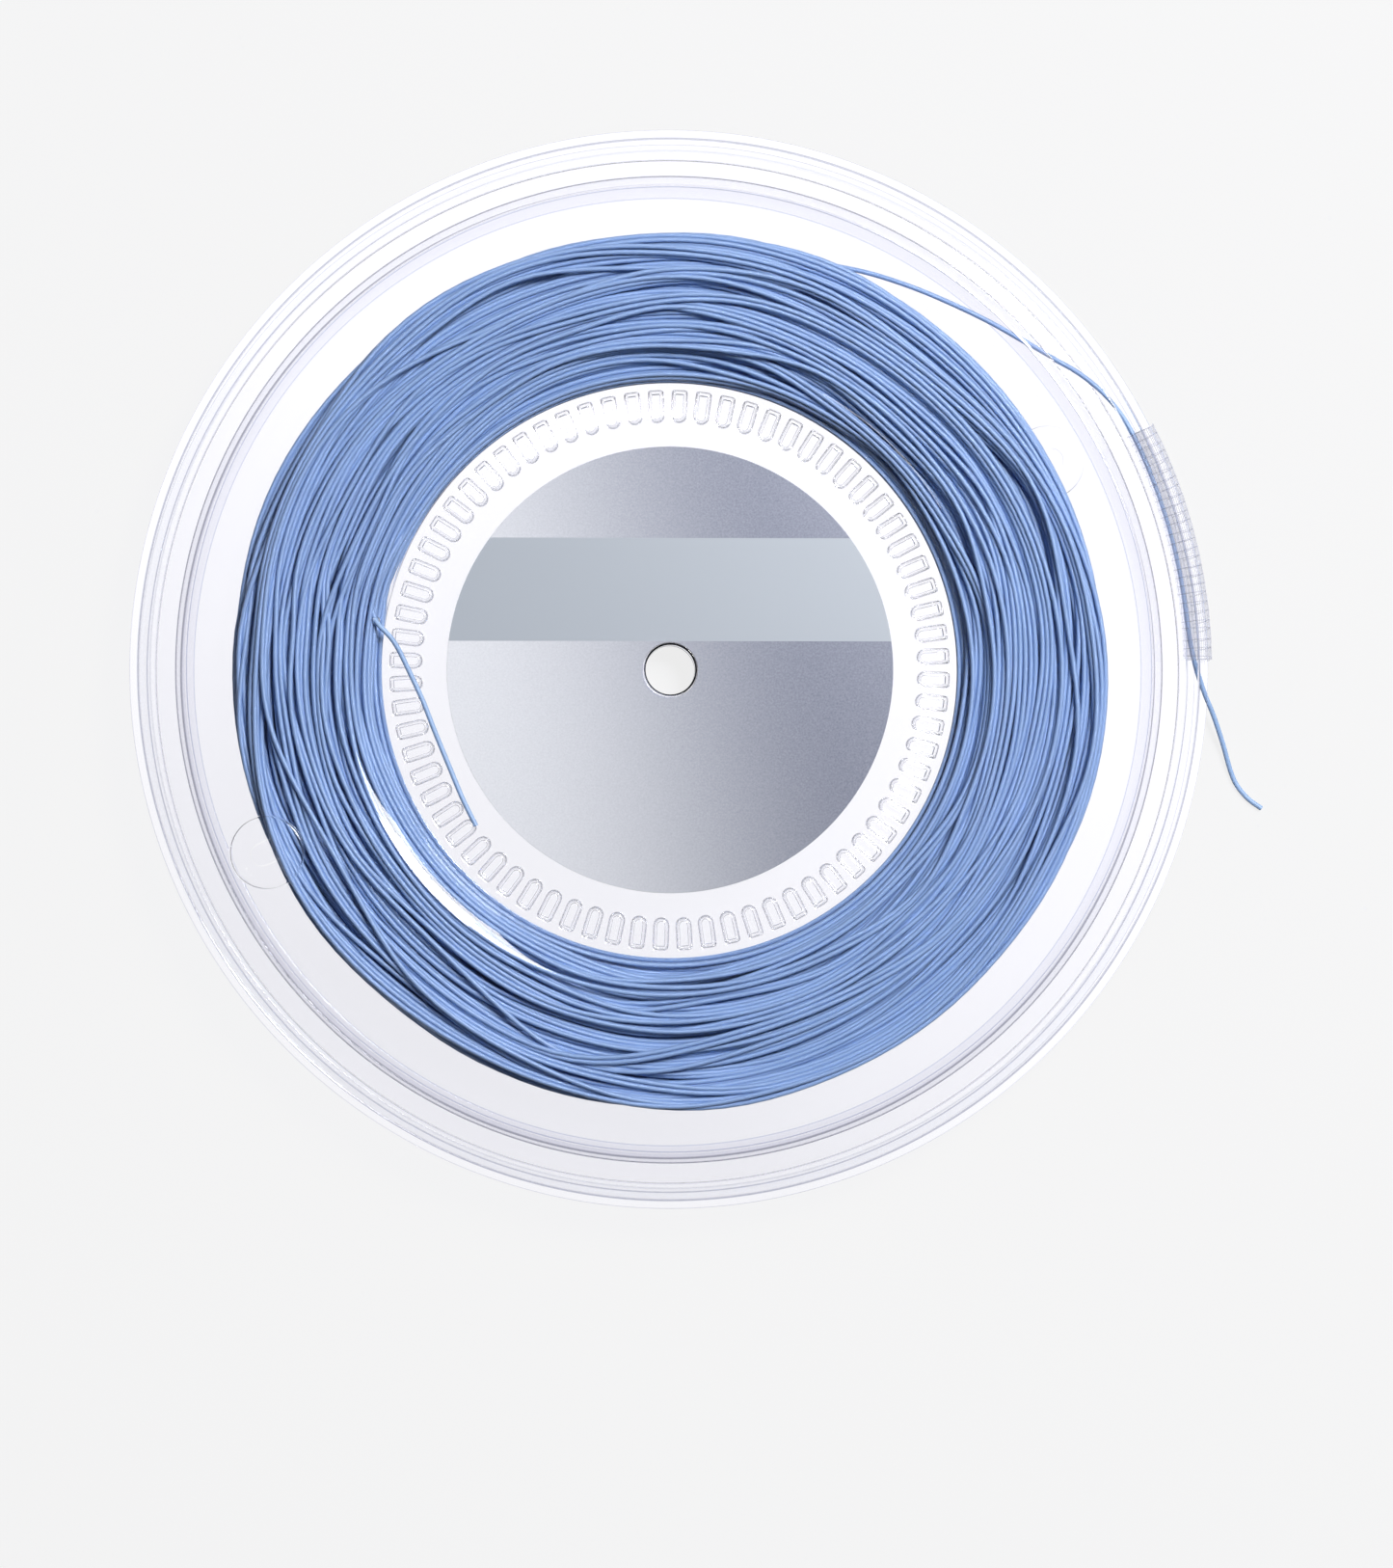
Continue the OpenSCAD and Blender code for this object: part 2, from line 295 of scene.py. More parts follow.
class Channel:
    """The room between the two shells, for the middle of a strand."""

    reach = WALL_R - SHEET / 2 - STRING_D / 2 - CLEARANCE

    def height(self, r):
        across = np.clip(WALL_CENTRE[0] - r, 0, self.reach)
        return np.maximum(WALL_CENTRE[1] + np.sqrt(self.reach**2 - across**2), 0.2)

    def radius(self, z):
        up = np.abs(z) - WALL_CENTRE[1]
        return np.maximum(WALL_CENTRE[0] - np.sqrt(np.maximum(self.reach**2 - up**2, 0)), DRUM_R)


def wind_string():
    """The wound string as one path. Each turn is laid at the lowest radius that clears the turns under it, while it
    travels from one flange to the other and back. It may settle sideways into a valley between two others, and
    the further from the hub the looser it lies, up to the last turns, which are neat again. The pile is then made
    round, by the radius of its outermost turns."""
    rng = np.random.default_rng(WINDING_SEED)
    channel = Channel()
    stations, bends, overlap = TURN_STATIONS, SWAY_BENDS, OVERLAP
    radii, heights = np.zeros((MOST_TURNS, stations)), np.zeros((MOST_TURNS, stations))
    slides = np.linspace(-SLIDE, SLIDE, 11)[:, None]
    place, way, radius, short = 4.0, -1.0, DRUM_R + 1, 0.0
    sway = rng.normal(size=bends)
    part, bend = np.modf(np.arange(stations) / stations * bends)
    part, bend = smooth_step(part), bend.astype(int)

    def resting(turn, z):
        """Lowest radius over the earlier turns and the walls, for each row of heights."""
        first = max(0, turn - TURNS_UNDER)
        apart = np.abs(heights[None, first:turn] - z[:, None, :])
        over = radii[None, first:turn] + np.sqrt(np.maximum(STRING_D**2 - apart**2, 0))
        over = np.where(apart < STRING_D, over, 0).max(1) if turn else 0
        return np.maximum(over, channel.radius(z))

    for turn in range(MOST_TURNS):
        limit = float(channel.height(radius))
        wanted = np.zeros(stations)
        for s in range(stations):
            place += way * TURN_PITCH / stations
            if way * place > limit - short:
                place, way = way * (limit - short), -way
                short = SHORT_OF_FLANGE * rng.uniform() ** SHORT_POWER
            wanted[s] = place
        sway = SWAY_KEPT * sway + SWAY_NEW * rng.normal(size=bends)
        loose = np.clip((radius - LOOSE_FROM) / LOOSE_OVER, 0, 1)
        loose = loose * np.clip((NEAT_FROM - radius) / NEAT_OVER, NEAT_LEAST, 1)
        wanted += (SWAY_LEAST + SWAY_ADDED * loose) * (sway[bend] * (1 - part) + sway[(bend + 1) % bends] * part)
        tries = np.clip(wanted + slides, -limit, limit)
        best = slides[(resting(turn, tries) + SLIDE_COST * slides**2).argmin(0), 0]
        best = smooth_ring(best, SLIDE_SMOOTH, SLIDE_SMOOTH)
        z = np.clip(wanted + best, -limit, limit)
        r = resting(turn, z[None])[0]
        before = radii[turn - 1, -overlap:] if turn else r[:overlap]
        r = taut(np.concatenate([before, r]))
        r[:overlap] = before
        r = smooth_row(np.concatenate([r, r[-4:]]), RADIUS_SMOOTH)[overlap:-4]
        radii[turn], heights[turn] = r, z
        radius = float(np.median(r))
        if radius > WINDING_OUT_R:
            break
    last = turn * stations + LAST_STATIONS
    r, z = radii.ravel()[: last + 1], heights.ravel()[: last + 1]
    r, z = smooth_row(r, PATH_R_SMOOTH), smooth_row(z, PATH_Z_SMOOTH)
    edge = smooth_ring(radii[turn - EDGE_TURNS : turn].max(0), EDGE_SMOOTH, EDGE_LAP)
    edge = edge[np.arange(last + 1) % stations]
    calm = WALL_CENTRE[0]
    r = np.where(r > calm, calm + (r - calm) * (WINDING_EDGE_R - calm) / (edge - calm), r)
    angle = math.radians(WINDING_START) - STATION_ANGLE * np.arange(last + 1)
    path = np.stack([r * np.cos(angle), r * np.sin(angle), z + MID_Z], 1)
    for end, route, span in ((0, INNER_TAIL, LEAD_IN), (-1, OUTER_TAIL, LEAD_OUT)):
        shift = np.array(route[0]) - path[end]
        fade = smooth_step(1 - np.arange(span) / span)[:, None]
        if end == 0:
            path[:span] += fade * shift
        else:
            path[-span:] += fade[::-1] * shift
    return path


def make_winding(material):
    """The winding in lengths that meet end to end, because one mesh of it would be too heavy."""
    path = wind_string()
    length = float(np.linalg.norm(np.diff(path, axis=0), axis=1).sum()) * MM
    print("wound string, in metres:", round(length, 1))
    lengths = math.ceil(len(path) / TURN_STATIONS / TURNS_IN_PIECE)
    cuts = np.linspace(0, len(path) - 1, lengths + 1).astype(int)
    for number, (first, last) in enumerate(zip(cuts[:-1], cuts[1:]), 1):
        piece = strand(f"wound_string_{number}", path[first : last + 1], material)
        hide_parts("string_winding", "string_core")


# ---------------------------------------------------------------- the shells

def turned(angle, r, z=0.0):
    """Point at an angle, a radius and a height."""
    return Vector((r * math.cos(math.radians(angle)), r * math.sin(math.radians(angle)), z))


def folded(corners, radius, steps=5):
    """Points of a profile with its corners rounded off."""
    points = [corners[0]]
    for before, at, after in zip(corners[:-2], corners[1:-1], corners[2:]):
        a, b = (Vector(before) - Vector(at)).normalized(), (Vector(after) - Vector(at)).normalized()
        half = a.angle(b) / 2
        centre = Vector(at) + (a + b).normalized() * radius / math.sin(half)
        start = (Vector(at) + a * radius / math.tan(half) - centre).normalized()
        end = (Vector(at) + b * radius / math.tan(half) - centre).normalized()
        for i in range(steps + 1):
            points.append(tuple(centre + start.slerp(end, i / steps).normalized() * radius))
    return points + [corners[-1]]


def spin_profile(bm, profile, steps=RINGS):
    """Turns a chain of (radius, height) points into a surface round the reel's axis."""
    verts = [bm.verts.new((r, 0, z)) for r, z in profile]
    edges = [bm.edges.new(pair) for pair in zip(verts[:-1], verts[1:])]
    bmesh.ops.spin(bm, geom=verts + edges, cent=(0, 0, 0), axis=(0, 0, 1), angle=math.tau, steps=steps,
                   use_merge=True, use_duplicate=False)


def floor_profile():
    """Middle of the sheet from the turned-up collar of the spindle hole across the hub floor to the pockets."""
    collar = folded([(COLLAR_R, COLLAR_Z), (COLLAR_R, FLOOR_Z), (COLLAR_R + 4, FLOOR_Z)], COLLAR_FOOT_R)
    return collar[:-1] + [(LABEL_R, FLOOR_Z), (FLOOR_EDGE_R, FLOOR_Z)]


def wall_profile():
    """Middle of the sheet from the pockets up the curved wall, over the flange and the groove to the rim."""
    r, z = WALL_CENTRE
    first = math.asin((FLOOR_Z - z) / WALL_R)
    wall = [first + (math.pi / 2 - first) * i / 12 for i in range(13)]
    arc = [(r - WALL_R * math.cos(a), z + WALL_R * math.sin(a)) for a in wall]
    foot = folded([(LAND_R, FLOOR_Z), arc[0], arc[1]], WALL_FOOT_R, 4)[:-1]
    corners = [(FLAT_OUT_R, FLANGE_Z), (GROOVE_IN_R, FLANGE_Z), (GROOVE_FLOOR_R[0], GROOVE_Z),
               (GROOVE_FLOOR_R[1], GROOVE_Z), (LIP_R, LIP_Z), (RIM_R, LIP_Z)]
    pad_ring = [(PAD_DIST - PAD_WINDOW, FLANGE_Z), (PAD_DIST + PAD_WINDOW, FLANGE_Z)]
    return foot + arc[1:] + pad_ring + folded(corners, FOLD_R, 6)[1:]


def pocket_outline(inset, z):
    """Outline of a pocket along X, round at its inner end and square with small round corners at its outer end."""
    half, corner = POCKET_W / 2 - inset, POCKET_CORNER_R
    middle, out = POCKET_IN_R + POCKET_W / 2, POCKET_OUT_R - inset - corner
    inner = [(middle - half * math.sin(a), half * math.cos(a)) for a in np.linspace(0, math.pi, 9)]
    side = [(out + corner * math.sin(a), half - corner + corner * math.cos(a)) for a in np.linspace(0, math.pi / 2, 4)]
    return [Vector((x, y, z)) for x, y in inner + [(x, -y) for x, y in side] + side[::-1]]


def closed_loop(bm, points):
    """Edges that join points in a ring."""
    verts = [bm.verts.new(p) for p in points]
    return [bm.edges.new(pair) for pair in zip(verts, verts[1:] + verts[:1])]


def add_pockets(bm):
    """The ring of pockets, which are closed wells in the hub floor: one is made and turned round."""
    half = 180 / POCKETS
    angles = np.linspace(-half, half, POCKET_STEPS + 1)
    sector = [turned(a, FLOOR_EDGE_R, FLOOR_Z) for a in angles] + [turned(a, LAND_R, FLOOR_Z) for a in angles[::-1]]
    sector = closed_loop(bm, sector)
    top = closed_loop(bm, pocket_outline(0, FLOOR_Z))
    foot = closed_loop(bm, pocket_outline(POCKET_TAPER, WELL_Z))
    bmesh.ops.triangle_fill(bm, edges=sector + top, use_beauty=True)
    bmesh.ops.bridge_loops(bm, edges=top + foot)
    bmesh.ops.contextual_create(bm, geom=foot)
    for height, size in POCKET_FOLDS:
        folds = [e for e in bm.edges if len(e.link_faces) == 2 and e.calc_face_angle() > 0.9
                 and max(abs(v.co.z - height) for v in e.verts) < 0.01]
        bmesh.ops.bevel(bm, geom=folds, offset=size, affect="EDGES", segments=3, profile=0.5, material=-1,
                        clamp_overlap=True)
    bmesh.ops.spin(bm, geom=list(bm.faces), cent=(0, 0, 0), axis=(0, 0, 1),
                   angle=math.tau * (POCKETS - 1) / POCKETS, steps=POCKETS - 1, use_duplicate=True, use_merge=False)
    bmesh.ops.remove_doubles(bm, verts=bm.verts, dist=WELD)


def tongue_outline(margin, z):
    """Outline of the tongue: square at its root, round at its free end. The pad's centre is the origin."""
    half = TONGUE_W / 2 + margin
    middle = TONGUE_LEN / 2 - TONGUE_W / 2
    bend = [Vector((middle + half * math.cos(a), half * math.sin(a), z))
            for a in np.linspace(-math.pi / 2, math.pi / 2, 17)]
    return [Vector((-TONGUE_LEN / 2, -half, z))] + bend + [Vector((-TONGUE_LEN / 2, half, z))]


def add_pad(bm, angle):
    """Cuts a window in the flange and fills it with the round raised pad and the cut round its tongue."""
    centre = turned(angle, PAD_DIST, 0)
    window = []
    for face in bm.faces:
        at = face.calc_center_median()
        turn = (math.degrees(math.atan2(at.y, at.x)) - angle + 180) % 360 - 180
        on_flange = abs(at.z - FLANGE_Z) < 0.01
        if on_flange and abs(at.xy.length - PAD_DIST) < PAD_WINDOW and abs(turn) < PAD_WINDOW_ANGLE:
            window.append(face)
    bmesh.ops.delete(bm, geom=window, context="FACES")
    rim = [e for e in bm.edges if e.is_boundary and (e.verts[0].co - centre).xy.length < 20]
    pad = bmesh.new()
    outer_r, inner_r = PAD_R + PAD_EDGE[0][0], PAD_R + PAD_EDGE[-1][0]
    spin_profile(pad, [(PAD_R + r, FLANGE_Z + share * PAD_RISE) for r, share in PAD_EDGE], steps=72)
    cut = closed_loop(pad, tongue_outline(CUT_MARGIN, FLANGE_Z + PAD_RISE))
    ring = [e for e in pad.edges if e.is_boundary and abs(e.verts[0].co.xy.length - inner_r) < 0.01]
    bmesh.ops.triangle_fill(pad, edges=ring + cut, use_beauty=True)
    pad.transform(Matrix.Translation(centre) @ Matrix.Rotation(math.radians(angle), 4, "Z"))
    mesh = bpy.data.meshes.new("pad")
    pad.to_mesh(mesh)
    pad.free()
    bm.from_mesh(mesh)
    bpy.data.meshes.remove(mesh)
    foot = [e for e in bm.edges if e.is_boundary
            and abs((e.verts[0].co - centre).xy.length - outer_r) < 0.01]
    bmesh.ops.triangle_fill(bm, edges=rim + foot, use_beauty=True)


def add_exit_hole(bm):
    """The hole in the curved wall that the inner end of the string comes out of. The back shell has one too."""
    centre = turned(*EXIT_HOLE)
    inside = [f for f in bm.faces if (f.calc_center_median() - centre).length < EXIT_HOLE_R + 0.05]
    bmesh.ops.delete(bm, geom=inside, context="FACES")
    for edge in bm.edges:
        if edge.is_boundary:
            for vert in edge.verts:
                if (vert.co - centre).length < 3:
                    vert.co = centre + (vert.co - centre).normalized() * EXIT_HOLE_R


def finished(name, bm, material, thickness=None, offset=0.0, edge=0.0):
    """A mesh object in metres, with its sheet thickness, rounded cut edge, smooth faces and creases at sharp folds."""
    if not thickness:
        bmesh.ops.recalc_face_normals(bm, faces=bm.faces)
    bm.transform(Matrix.Scale(MM, 4))
    mesh = bpy.data.meshes.new(name)
    bm.to_mesh(mesh)
    bm.free()
    piece = bpy.data.objects.new(name, mesh)
    bpy.context.scene.collection.objects.link(piece)
    if thickness:
        wall = piece.modifiers.new("sheet", "SOLIDIFY")
        wall.thickness = thickness * MM
        wall.offset = offset
        wall.use_even_offset = True
        wall.thickness_clamp = 0
        solid = bpy.data.meshes.new_from_object(piece.evaluated_get(bpy.context.evaluated_depsgraph_get()))
        piece.modifiers.clear()
        piece.data = solid
    if edge:
        cut = piece.modifiers.new("cut edge", "BEVEL")
        cut.width = edge * MM
        cut.segments = 2
    piece.data.polygons.foreach_set("use_smooth", [True] * len(piece.data.polygons))
    piece.data.set_sharp_from_angle(angle=math.radians(CREASE_ANGLE))
    weighted = piece.modifiers.new("even shading", "WEIGHTED_NORMAL")
    weighted.keep_sharp = True
    piece.data.materials.clear()
    piece.data.materials.append(material)
    return piece


def shell_surface(pocket_angle):
    """A shell as one surface in the middle of its sheet, as the front one lies."""
    bm = bmesh.new()
    add_pockets(bm)
    spin_profile(bm, floor_profile())
    spin_profile(bm, wall_profile())
    bm.transform(Matrix.Rotation(math.radians(pocket_angle), 4, "Z"))
    bmesh.ops.remove_doubles(bm, verts=bm.verts, dist=WELD)
    add_pad(bm, FRONT_PAD_ANGLE)
    add_exit_hole(bm)
    bmesh.ops.remove_doubles(bm, verts=bm.verts, dist=WELD)
    return bm


def placed(front):
    """How a piece made as the front one is placed: lifted to its height, or turned over to be the back one."""
    if front:
        return Matrix.Translation((0, 0, MID_Z))
    turn = Matrix.Rotation(math.radians(BACK_PAD_ANGLE + FRONT_PAD_ANGLE), 4, "Z")
    return Matrix.Translation((0, 0, MID_Z)) @ turn @ Matrix.Rotation(math.pi, 4, "X")


# The sheet that is seen is thinner than SHEET: this offset keeps its outer face where that of a sheet of SHEET is
OUTER_FACE = SHEET / WALL_T - 1


def face_up(bm):
    """Makes all faces of a sheet point to its outer side, which is up before it is placed."""
    bmesh.ops.recalc_face_normals(bm, faces=bm.faces)
    bm.normal_update()
    if sum(f.normal.z * f.calc_area() for f in bm.faces) < 0:
        bmesh.ops.reverse_faces(bm, faces=bm.faces)


def make_shells(material):
    """The two shells, and the tongue of each as a piece of its own."""
    for side in ("front", "back"):
        bm = shell_surface(POCKET_PHASE[side])
        face_up(bm)
        bm.transform(placed(side == "front"))
        shell = finished(f"{side}_shell_sheet", bm, material, WALL_T, OUTER_FACE)
        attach(shell, "reel")
        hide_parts(f"{side}_shell")
        bm = bmesh.new()
        edges = closed_loop(bm, tongue_outline(0, FLANGE_Z + PAD_RISE))
        bmesh.ops.triangle_fill(bm, edges=edges, use_beauty=True)
        face_up(bm)
        bm.transform(placed(side == "front") @ Matrix.Translation(turned(FRONT_PAD_ANGLE, PAD_DIST))
                     @ Matrix.Rotation(math.radians(FRONT_PAD_ANGLE), 4, "Z"))
        tongue = finished(f"{side}_tongue_sheet", bm, material, WALL_T, OUTER_FACE, edge=CUT_EDGE)
        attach(tongue, f"{side}_tongue")
        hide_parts(f"{side}_tongue")


def make_labels(material):
    """The round labels on the two hub floors, with their edges eased."""
    for side in ("front", "back"):
        bm = bmesh.new()
        low, high = FLOOR_Z + SHEET / 2, FLOOR_Z + SHEET / 2 + LABEL_T
        back, down = LABEL_EDGE
        section = [(LABEL_HOLE_R, low), (LABEL_HOLE_R, high - down), (LABEL_HOLE_R + back, high),
                   (LABEL_R - back, high), (LABEL_R, high - down), (LABEL_R, low), (LABEL_HOLE_R, low)]
        spin_profile(bm, section, steps=180)
        bmesh.ops.remove_doubles(bm, verts=bm.verts, dist=0.01)
        bm.transform(placed(side == "front"))
        label = finished(f"{side}_label_film", bm, material)
        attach(label, "reel")
        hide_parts(f"{side}_label")


# ---------------------------------------------------------------- the tape

TAPE_START, TAPE_SPAN = 1.0, 26.0
TAPE_PROFILE = [(134.0, 7.45), (135.05, 7.45), (137.75, 10.8), (140.2, 10.8), (141.2, 9.4), (141.5, 2.0),
                (141.3, -5.0), (140.4, -9.6), (140.2, -10.3)]
TAPE_FOLD_R = 0.4
TAPE_STEPS = 52
TAPE_T = 0.1
# Rungs run across the tape and threads along it
FIRST_RUNG, RUNG_STEP = 0.4, 2.4
FIRST_THREAD, THREAD_STEP = 0.5, 2.2
THREAD_D = 0.22
# How much a rung leans, how far a thread falls short of the tape's ends or sticks out, and how it wavers on its way
RUNG_LEAN = 0.08
FRAY = (-0.25, 0.2)
WAVER, WAVER_PACE = 0.08, 2.1
TAPE_SEED = 3


def make_tape(film, thread):
    """Film over the rim, with a net of threads set in it that fray a little at its two cut ends."""
    rng = np.random.default_rng(TAPE_SEED)
    profile = folded(TAPE_PROFILE, TAPE_FOLD_R, 3)
    bm = bmesh.new()
    verts = [bm.verts.new((r, 0, z)) for r, z in profile]
    edges = [bm.edges.new(pair) for pair in zip(verts[:-1], verts[1:])]
    bmesh.ops.spin(bm, geom=verts + edges, cent=(0, 0, 0), axis=(0, 0, 1), angle=math.radians(TAPE_SPAN),
                   steps=TAPE_STEPS, use_merge=False, use_duplicate=False)
    bm.transform(Matrix.Translation((0, 0, MID_Z)) @ Matrix.Rotation(math.radians(TAPE_START), 4, "Z"))
    tape = finished("rim_tape_film", bm, film, TAPE_T)
    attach(tape, "reel")
    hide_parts("rim_tape")

    curve = bpy.data.curves.new("rim_tape_threads", "CURVE")
    curve.dimensions = "3D"
    curve.bevel_depth = THREAD_D / 2 * MM
    curve.bevel_resolution = 1
    across = np.array(profile)
    travelled = np.concatenate([[0], np.cumsum(np.linalg.norm(np.diff(across, axis=0), axis=1))])

    def on_tape(angle, way):
        r, z = np.interp(way, travelled, across[:, 0]), np.interp(way, travelled, across[:, 1])
        a = math.radians(TAPE_START + angle)
        return (r * math.cos(a), r * math.sin(a), z + MID_Z)

    def add(angles, ways):
        points = np.array([on_tape(a, w) for a, w in zip(angles, ways)]) * MM
        spline = curve.splines.new("POLY")
        spline.points.add(len(points) - 1)
        spline.points.foreach_set("co", np.hstack([points, np.ones((len(points), 1))]).ravel())

    for angle in np.arange(FIRST_RUNG, TAPE_SPAN, math.degrees(RUNG_STEP / RIM_R)):
        lean = rng.normal(0, RUNG_LEAN, 3)
        ways = np.union1d(travelled, np.linspace(0, travelled[-1], 12))
        add(np.interp(ways, [0, travelled[-1] / 2, travelled[-1]], angle + lean), ways)
    for way in np.arange(FIRST_THREAD, travelled[-1], THREAD_STEP):
        ends = rng.uniform(*FRAY, 2)
        angles = np.linspace(ends[0], TAPE_SPAN + ends[1], 60)
        add(angles, way + WAVER * np.sin(angles * WAVER_PACE + way))
    threads = bpy.data.objects.new("rim_tape_threads", curve)
    bpy.context.scene.collection.objects.link(threads)
    curve.materials.append(thread)
    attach(threads, "reel")


# ---------------------------------------------------------------- materials

# Colours of the clear sheet by radius, which is where its folds are: painted shade, as thin darker lines at the folds
# of the rim groove and at the rim's edge and a little grey on the groove's slopes, standing in for how the folds bend
# light
RAMP_FROM_R, RAMP_TO_R = 120, 140
SHEET_PAINTED_FOLD_SHADES = (
    (125.2, "#FDFDFF"), (125.4, "#CDD2E6"), (125.6, "#F4F4FA"), (128.1, "#F0F0F6"), (128.25, "#ACADB7"),
    (128.5, "#ACADB7"), (128.65, "#FDFDFF"), (135.0, "#FDFDFF"), (135.1, "#D2D4DE"), (135.3, "#FCFCFE"),
    (137.6, "#FCFCFE"), (137.75, "#C8CAD6"), (138.0, "#C8CAD6"), (138.15, "#FDFDFF"), (139.75, "#FDFDFF"),
)
# The label's grain, its printed band, and the way and reach of its painted highlight and shade, a run from dark to
# bright across it
GRAIN = 0.5
BAND_MIDDLE_Y, BAND_HALF = 21.0, 13.5
PAINTED_SHEEN_WAY = (-0.95, -0.3, 0.0)
PAINTED_SHEEN_FROM, PAINTED_SHEEN_TO = -40, 75
# Where the tape stops bridging the groove and sticks to the rim
TAPE_STICKS_R = (137.4, 138.0)


def clear_pet():
    """Thermoformed PET sheet: glass-clear and glossy, and open to light on its way to what is behind it. Its colour
    holds
    painted shade: a little grey on the slopes of the rim groove, with thin darker lines at the folds and the rim's
    edge."""
    m = new_material("clear thermoformed PET")
    place = node(m, "ShaderNodeTexCoord")
    flat = node(m, "ShaderNodeVectorMath", {"operation": "MULTIPLY", 1: (1.0, 1.0, 0.0)}, {0: place.outputs["Object"]})
    radius = node(m, "ShaderNodeVectorMath", {"operation": "LENGTH"}, {0: flat.outputs[0]})
    rim = node(m, "ShaderNodeMapRange", {"From Min": RAMP_FROM_R * MM, "From Max": RAMP_TO_R * MM},
               {"Value": radius.outputs["Value"]})
    # Painted shade by radius: darker lines at the sheet's folds and a little grey on the groove's slopes
    painted_fold_shade = node(m, "ShaderNodeValToRGB", {}, {"Fac": rim.outputs[0]})
    painted_fold_shade.color_ramp.elements[0].color = linear("#FDFDFF")
    painted_fold_shade.color_ramp.elements[1].color = linear("#DDDFE8")
    for millimetres, colour in SHEET_PAINTED_FOLD_SHADES:
        painted_fold_shade.color_ramp.elements.new((millimetres - RAMP_FROM_R) / (RAMP_TO_R - RAMP_FROM_R)).color = linear(colour)
    sheet = node(m, "ShaderNodeBsdfPrincipled", {"Roughness": 0.015, "IOR": 1.5, "Transmission Weight": 1.0},
                 {"Base Color": painted_fold_shade.outputs[0]})
    open_sheet = node(m, "ShaderNodeBsdfTransparent", {"Color": linear("#F4F5FA")})
    path = node(m, "ShaderNodeLightPath")
    lit = node(m, "ShaderNodeMath", {"operation": "MAXIMUM"},
               {0: path.outputs["Is Shadow Ray"], 1: path.outputs["Is Diffuse Ray"]})
    mix = node(m, "ShaderNodeMixShader", {}, {0: lit.outputs[0], 1: sheet.outputs[0], 2: open_sheet.outputs[0]})
    return show(m, mix.outputs[0])


def polyester_string():
    """Drawn polyester monofilament, pigmented light blue: satin, with faint differences along its length."""
    m = new_material("drawn polyester monofilament")
    place = node(m, "ShaderNodeTexCoord")
    tone = node(m, "ShaderNodeTexNoise", {"Scale": 90.0, "Detail": 2.0}, {"Vector": place.outputs["Object"]})
    colour = node(m, "ShaderNodeMix", {"data_type": "RGBA", 6: linear("#8AA7D0"), 7: linear("#96B3DC")},
                  {0: tone.outputs["Fac"]})
    skin = node(m, "ShaderNodeBsdfPrincipled", {"Roughness": 0.45, "IOR": 1.55}, {"Base Color": colour.outputs[2]})
    return show(m, skin.outputs[0])


def silver_film():
    """Metallised label film: satin silver with a fine grain, and a printed band of one plain grey. The silver's colour
    runs from dark to bright across it: a painted highlight and shade laid into its colour. The grain is drawn coarser
    than such film's, so that it shows."""
    m = new_material("metallised label film")
    place = node(m, "ShaderNodeTexCoord")
    grain = node(m, "ShaderNodeTexNoise", {"Scale": 1 / (GRAIN * MM), "Detail": 3.0, "Roughness": 0.7},
                 {"Vector": place.outputs["Object"]})
    # Painted highlight and shade: the silver's colour runs from dark to bright across the label
    across = node(m, "ShaderNodeVectorMath", {"operation": "DOT_PRODUCT", 1: PAINTED_SHEEN_WAY},
                  {0: place.outputs["Object"]})
    painted_sheen = node(m, "ShaderNodeMapRange",
                 {"interpolation_type": "SMOOTHSTEP", "From Min": PAINTED_SHEEN_FROM * MM, "From Max": PAINTED_SHEEN_TO * MM},
                 {"Value": across.outputs["Value"]})
    # The grain mixed with the painted highlight and shade gives the silver its colour
    both = node(m, "ShaderNodeMix", {"data_type": "FLOAT", 0: 0.75}, {2: grain.outputs["Fac"], 3: painted_sheen.outputs[0]})
    split = node(m, "ShaderNodeSeparateXYZ", {}, {0: place.outputs["Object"]})
    from_middle = node(m, "ShaderNodeMath", {"operation": "SUBTRACT", 1: BAND_MIDDLE_Y * MM}, {0: split.outputs["Y"]})
    away = node(m, "ShaderNodeMath", {"operation": "ABSOLUTE"}, {0: from_middle.outputs[0]})
    band = node(m, "ShaderNodeMath", {"operation": "LESS_THAN", 1: BAND_HALF * MM}, {0: away.outputs[0]})
    silver = node(m, "ShaderNodeMix", {"data_type": "RGBA", 6: linear("#4A5066"), 7: linear("#EAECF2")},
                  {0: both.outputs[0]})
    colour = node(m, "ShaderNodeMix", {"data_type": "RGBA", 7: linear("#A1A8B2")},
                  {0: band.outputs[0], 6: silver.outputs[2]})
    metal = node(m, "ShaderNodeMath", {"operation": "MULTIPLY_ADD", 1: -0.35, 2: 0.45}, {0: band.outputs[0]})
    skin = node(m, "ShaderNodeBsdfPrincipled", {"Roughness": 0.42},
                {"Base Color": colour.outputs[2], "Metallic": metal.outputs[0]})
    return show(m, skin.outputs[0])


